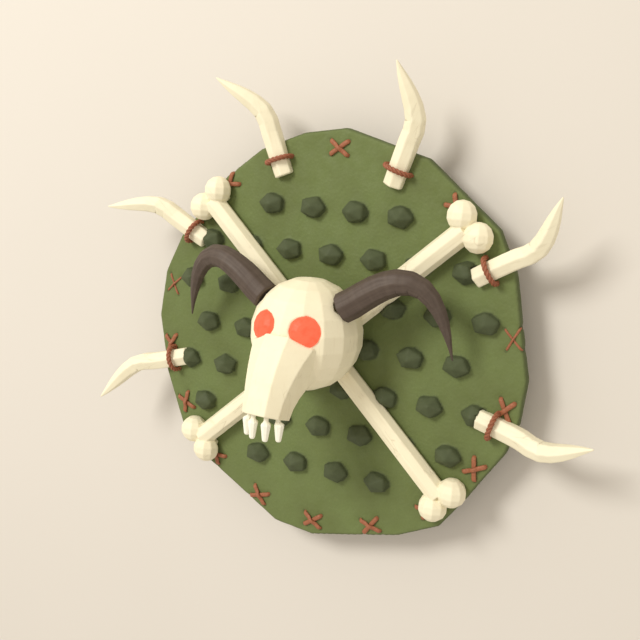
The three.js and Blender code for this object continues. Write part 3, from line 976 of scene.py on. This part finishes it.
ivory = bone_finish("tusk_ivory", IVORY_CREAM, 0.5)
tusk_stations, tusk_length = evenly_along(through(TUSK_LINE, TUSK_SPAN_POINTS), TUSK_RUNS)
tusk_shares = np.linspace(0, 1, TUSK_RUNS + 1)
tusk_radii = TUSK_R * np.maximum(1 - tusk_shares**TUSK_TAPER, TUSK_TIP)
for number, direction in enumerate(TUSK_DIRECTIONS, 1):
    mesh, _ = hewn_mesh(tusk_stations, tusk_radii, TUSK_SIDES, TUSK_STEPS_A_RUN)
    lay_grain(mesh, np.array([1, 0, 0]))
    push(mesh, TUSK_UNEVEN * uneven(points_of(mesh), 8 * MM, 30 + number))
    points = turned(points_of(mesh), direction)
    points[:, 2] = np.maximum(points[:, 2], SEAT_Z)
    put_points(mesh, points)
    add_piece(f"tusk_{number}_ivory", mesh, ivory, "tusk", f"tusk_{number}")
print("six tusks,", round(tusk_length / MM), "mm along the curve")

# %% [markdown]
# ## Rawhide lace
#
# Rawhide lace is skin cut into thongs and stained rust-red. It is fibrous, matt where it is raw
# and paler where its edges rub. A leather pattern would be too fine to see on a thong this thin,
# so soft noise varies its colour, its roughness and its bump together.

# %% Finish of the lace
LACE_RUST = (0.37, 0.124, 0.054)
LACE_DARK = (0.26, 0.087, 0.039)
LACE_WORN = (0.46, 0.19, 0.095)


def lace_finish():
    f = Finish("rawhide_lace", 0.62)
    fibres = f.clouds(1.4 * MM, 5)
    colour = f.blend(f.spread(fibres, 0.3, 0.7), LACE_RUST, LACE_DARK)
    colour = f.blend(f.spread(f.read("arris"), 0.1, 0.6, 0.0, 0.3), colour, LACE_WORN)
    return f.done(colour, f.bump(fibres, 0.2 * MM), f.spread(fibres, 0.3, 0.7, 0.5, 0.72))


rawhide = lace_finish()
print("rawhide:", len(rawhide.node_tree.nodes), "nodes")

# %% [markdown]
# ## Laced crosses
#
# Between the tusks the rim is decorated with crosses of lace. Each cross is two flat thongs that
# come up through holes, pass over each other and go down again. Two crosses are drawn so tight
# that the lace has sunk into the hide and looks thin. Cloth simulation could drape a thong, but
# so short and tight a one has little choice: it is a flat round section swept from hole to hole,
# with a hump where it passes over the other.

# %% Lay the laced crosses
LACE_WIDE = 2.65 * MM
LACE_HIGH = 1.5 * MM
LACE_UNEVEN = 0.12 * MM
TIGHT = ("lace_cross_3", "lace_cross_13")
TIGHT_SUNK = 0.9 * MM
THONG_POINTS = 41
SINK_SHARE, SINK_DEPTH, SINK_PINCH = 0.12, 3.2, 0.25
HUMP_SHARE, HUMP_PINCH = 0.13, 0.12


def round_section(count, width=1, height=1):
    turns = 2 * np.pi * np.arange(count) / count
    return np.stack([width * np.cos(turns), height * np.sin(turns)], 1)


def thong(start, end, base, lift, wide, high):
    """One flat thong from hole to hole, humped by lift in its middle."""
    shares = np.linspace(0, 1, THONG_POINTS)
    line = start + (end - start) * shares[:, None]
    sink = np.clip(1 - np.minimum(shares, 1 - shares) / SINK_SHARE, 0, 1) ** 2
    hump = np.exp(-(((shares - 0.5) / HUMP_SHARE) ** 2))
    line[:, 2] = base + high + lift * hump - SINK_DEPTH * high * sink
    pinch = 1 - SINK_PINCH * sink - HUMP_PINCH * hump
    return mesh_through(sweep(line, pinch, round_section(12, wide, high)))


def join_meshes(meshes):
    """One mesh of several closed skins."""
    points, faces, start = [], [], 0
    for mesh in meshes:
        points += [v.co[:] for v in mesh.vertices]
        faces += [tuple(start + v for v in face.vertices) for face in mesh.polygons]
        start = len(points)
    whole = bpy.data.meshes.new("joined")
    whole.from_pydata(points, [], faces)
    for mesh in meshes:
        bpy.data.meshes.remove(mesh)
    return whole


def cross_of_lace(ends, base, wide, high):
    ends = [np.array(end) for end in ends]
    under = thong(ends[0], ends[2], base, 0, wide, high)
    over = thong(ends[1], ends[3], base, 2 * high, wide, high)
    mesh = join_meshes([under, over])
    wear_down(mesh, 1)
    push(mesh, LACE_UNEVEN * uneven(points_of(mesh), 3 * MM, 50))
    return mesh


for node in LACES:
    base, wide, high = FRONT_Z, LACE_WIDE, LACE_HIGH
    if node in TIGHT:
        base, wide, high = FRONT_Z - TIGHT_SUNK, LACE_WIDE / 2, LACE_HIGH * 0.7
    mesh = cross_of_lace(lace_ends(node), base, wide, high)
    add_piece(f"{node}_rawhide", mesh, rawhide, "lace", node)
print(len(LACES), "laced crosses")

# %% [markdown]
# ## Lashings
#
# One turn of three-ply leather cord goes over the root of each tusk and down into the hide on
# both sides. A twisted bump on one thick cord would look flat from the side. So three strands
# wind round the cord's own line, each a third of a turn behind the next.

# %% Wind the lashings
LASH_R = 2.6 * MM
LASH_SPREAD = 13.8 * MM
LASH_RISE = 11.9 * MM
LASH_LIFT = 3 * MM
PLIES = 3
PLY_OFF, PLY_R = 0.5 * LASH_R, 0.62 * LASH_R
LAY = 14 * MM
ARCH_POINTS, LEG_POINTS = 61, 14
CORD_TAN = (0.35, 0.115, 0.054)
CORD_DARK = (0.25, 0.080, 0.038)


def arch_line(middle):
    """Up one side of the tusk, over its back and down the other side."""
    turns = np.linspace(0, np.pi, ARCH_POINTS)
    sides, rise = LASH_SPREAD * np.cos(turns), LASH_LIFT + LASH_RISE * np.sin(turns)
    arch = np.stack([0 * turns, sides, rise], 1)
    foot, top = FRONT_Z - LASH_R, middle[2] + LASH_LIFT
    heights = np.linspace(foot, top, LEG_POINTS, endpoint=False) - middle[2]
    leg = np.stack([0 * heights, 0 * heights + LASH_SPREAD, heights], 1)
    return np.vstack([leg, arch, leg[::-1] * (1, -1, 1)]) + middle


def cord_of_plies(line):
    side = np.tile((1.0, 0, 0), (len(line), 1))
    out = np.cross(directions_along(line), side)
    ring = round_section(8)
    ring = side[:, None] * ring[:, :1] + out[:, None] * ring[:, 1:]
    strands = []
    for ply in range(PLIES):
        a = (reach_along(line) / LAY + ply / PLIES) * 2 * np.pi
        twist = side * np.cos(a)[:, None] + out * np.sin(a)[:, None]
        strand = line + twist * PLY_OFF
        strands.append(mesh_through((strand[:, None] + ring * PLY_R)[::-1]))
    return join_meshes(strands)


def cord_finish():
    f = Finish("leather_cord", 0.6)
    fibres = f.clouds(1.1 * MM, 5)
    colour = f.blend(f.spread(fibres, 0.3, 0.7), CORD_TAN, CORD_DARK)
    return f.done(colour, f.bump(fibres, 0.15 * MM), f.spread(fibres, 0.3, 0.7, 0.5, 0.7))


leather_cord = cord_finish()
for number, direction in enumerate(TUSK_DIRECTIONS, 1):
    mesh = cord_of_plies(arch_line(TUSK_LINE[1]))
    put_points(mesh, turned(points_of(mesh), direction))
    add_piece(f"lashing_{number}_cord", mesh, leather_cord, "lashing", f"lashing_{number}")
print("six lashings of", PLIES, "plies")

# %% [markdown]
# ## Carrying straps
#
# On the back are two leather straps: a wide one for the forearm and a narrower one to grip. Thick
# strap leather has burnished edges and a creased line beside each edge. The crease could be cut
# into the mesh, but it is half a millimetre wide, so each point stores how far it is from the
# edge and the finish draws the line there.

# %% Cut the straps
STRAPS = ("grip_strap", "arm_strap")
STRAP_VOXEL = 1.2 * MM
STRAP_UNEVEN = 0.12 * MM
STRAP_SHAVED = 0.13 * MM
CREASE_IN = 3 * MM
CREASE_WIDE = 0.5 * MM
STRAP_BROWN = (0.150, 0.060, 0.031)
STRAP_DARK = (0.085, 0.034, 0.018)
STRAP_WORN = (0.27, 0.14, 0.075)


def strap_finish():
    f = Finish("strap_leather", 0.55)
    patches = f.clouds(22 * MM, 5)
    colour = f.blend(f.spread(patches, 0.35, 0.7), STRAP_BROWN, STRAP_DARK)
    colour = f.blend(f.spread(f.read("arris"), 0.1, 0.7, 0.0, 0.6), colour, STRAP_WORN)
    crease = f.stripe(f.read("from_edge"), CREASE_IN, CREASE_WIDE)
    colour = f.blend(f.times(crease, 0.6), colour, STRAP_DARK)
    relief = f.bump(f.cells(1.3 * MM, "SMOOTH_F1"), 0.15 * MM)
    relief = f.bump(f.minus(f.clouds(0.6 * MM, 4), crease), 0.1 * MM, relief)
    return f.done(colour, relief, f.spread(patches, 0.3, 0.7, 0.42, 0.62))


strap_leather = strap_finish()
for node in STRAPS:
    low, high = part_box(node)
    mesh = even_skin(node, STRAP_VOXEL)
    wear_down(mesh, 2)
    points = points_of(mesh)
    note(mesh, "from_edge", np.minimum(points[:, 0] - low.x, high.x - points[:, 0]))
    push(mesh, STRAP_UNEVEN * uneven(points, 15 * MM, 60) - STRAP_SHAVED)
    add_piece(f"{node}_leather", mesh, strap_leather, "strap_leather", node)
    print(node, round((high.x - low.x) / MM), "mm wide")

# %% [markdown]
# ## Stitches in the straps
#
# A row of stitches along each edge stops a strap stretching. A dashed line in the finish would do
# from far off, but waxed thread stands proud of the leather. So each stitch is a short tapered
# sweep, sunk into the leather at both ends, and a row follows the bent outside of the strap.

# %% Stitch the straps
STITCH = 4 * MM
STITCH_STEP = 6 * MM
STITCH_IN = 5 * MM
STITCH_SUNK = 0.45 * MM
STITCH_R = 0.5 * MM
STITCH_RADII = STITCH_R * np.array([0.4, 0.8, 1, 1, 1, 0.8, 0.4])
THREAD = (0.62, 0.50, 0.32)
THREAD_DARK = (0.372, 0.30, 0.192)
STRAP_OUTSIDE = MM * np.array([
    [-87, -3.5],
    [-60, -3.5],
    [-38, -31.5],
    [38, -31.5],
    [60, -3.5],
    [87, -3.5],
])


def thread_finish():
    f = Finish("waxed_thread", 0.6)
    twist = f.clouds(0.5 * MM, 4)
    colour = f.blend(f.spread(twist, 0.3, 0.7), THREAD, THREAD_DARK)
    return f.done(colour, f.bump(twist, 0.1 * MM))


def stitches_along(x):
    """Stitches in a row along the outside of a strap."""
    stitches = []
    for start, run in zip(STRAP_OUTSIDE, np.diff(STRAP_OUTSIDE, axis=0)):
        length = np.hypot(*run)
        way = run / length
        inward = np.array([-way[1], way[0]])
        for place in np.arange(STITCH_STEP, length - STITCH_STEP / 2, STITCH_STEP):
            reach = place + np.linspace(-STITCH / 2, STITCH / 2, len(STITCH_RADII))
            line = start + reach[:, None] * way + inward * STITCH_SUNK
            line = np.column_stack([np.full(len(line), x), line])
            stitches.append(mesh_through(sweep(line, STITCH_RADII, round_section(6))))
    return stitches


thread = thread_finish()
for node in STRAPS:
    low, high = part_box(node)
    rows = stitches_along(low.x + STITCH_IN) + stitches_along(high.x - STITCH_IN)
    count = len(rows)
    add_piece(f"{node}_stitches", join_meshes(rows), thread, "lace")
    print(node, count, "stitches")

# %% [markdown]
# ## Lacing the straps on
#
# The tabs at a strap's ends are laced to the hide with the same rawhide as the front. Rivets would
# be stronger, but lace needs no metal. Each cross is made as those on the front are, and then
# turned over to lie on the tab's outer face.

# %% Lace the straps on
TAB_FACE = STRAP_OUTSIDE[0, 1]

for node in STRAPS:
    for end in ("top", "bottom"):
        lacing = f"{node}_lacing_{end}"
        mesh = cross_of_lace(lace_ends(lacing, 0), 0, LACE_WIDE, LACE_HIGH)
        put_points(mesh, points_of(mesh) * (1, 1, -1) + (0, 0, TAB_FACE))
        mesh.flip_normals()
        add_piece(f"{lacing}_rawhide", mesh, rawhide, "lace", lacing)
print("the straps are laced on, on a face", round(-TAB_FACE / MM, 1), "mm behind the hide's back")

# %% [markdown]
# ## Floor
#
# The shield lies on a plain pale floor. A single large square is enough, because nothing on it
# bends. It is painted in two tones that are nearly the same, so that it isn't dead flat.

# %% Lay the floor
FLOOR_TONE = (0.70, 0.66, 0.60)
FLOOR_DUSTY = (0.67, 0.635, 0.575)
FLOOR_HALF = 8


def floor_finish():
    f = Finish("floor_paint", 0.9)
    grain = f.clouds(0.4, 2)
    return f.done(f.blend(grain, FLOOR_TONE, FLOOR_DUSTY), f.bump(grain, 0.01 * MM))


corner_ways = ((-1, -1), (1, -1), (1, 1), (-1, 1))
corners = [(x * FLOOR_HALF, y * FLOOR_HALF, FLOOR_Z) for x, y in corner_ways]
floor_mesh = bpy.data.meshes.new("floor")
floor_mesh.from_pydata(corners, [], [(0, 1, 2, 3)])
floor_mesh.materials.append(floor_finish())
floor = bpy.data.objects.new("floor", floor_mesh)
bpy.context.scene.collection.objects.link(floor)
print("floor", 2 * FLOOR_HALF, "m square")

# %% [markdown]
# ## Light
#
# One large soft lamp stands to the upper left and in front. More lamps could fill the shadows,
# but each would cast shadows of its own. Pale surroundings fill them from all sides instead, and
# warmly, because the floor and walls are warm. The Standard view keeps colours as they are set.

# %% Set up the lamp and the surroundings
KEY_FROM = Vector((-0.36, 0.50, 0.79)).normalized()
KEY_DISTANCE = 3.2
KEY_SIZE = 1.1
KEY_POWER = 64
KEY_COLOUR = (1.0, 0.98, 0.93)
SURROUND = (1.0, 0.92, 0.82)
SURROUND_STRENGTH = 0.78

lamp = bpy.data.objects.new("key_lamp", bpy.data.lights.new("key_lamp", "AREA"))
lamp.data.shape = "DISK"
lamp.data.size = KEY_SIZE
lamp.data.energy = KEY_POWER
lamp.data.color = KEY_COLOUR
lamp.location = KEY_FROM * KEY_DISTANCE
lamp.rotation_euler = KEY_FROM.to_track_quat("Z", "Y").to_euler()
bpy.context.scene.collection.objects.link(lamp)

world = bpy.data.worlds.new("surroundings")
world.use_nodes = True
background = world.node_tree.nodes["Background"]
background.inputs["Color"].default_value = (*SURROUND, 1)
background.inputs["Strength"].default_value = SURROUND_STRENGTH
bpy.context.scene.world = world
bpy.context.scene.view_settings.view_transform = "Standard"
print("key lamp", KEY_DISTANCE, "m away,", KEY_POWER, "watts")
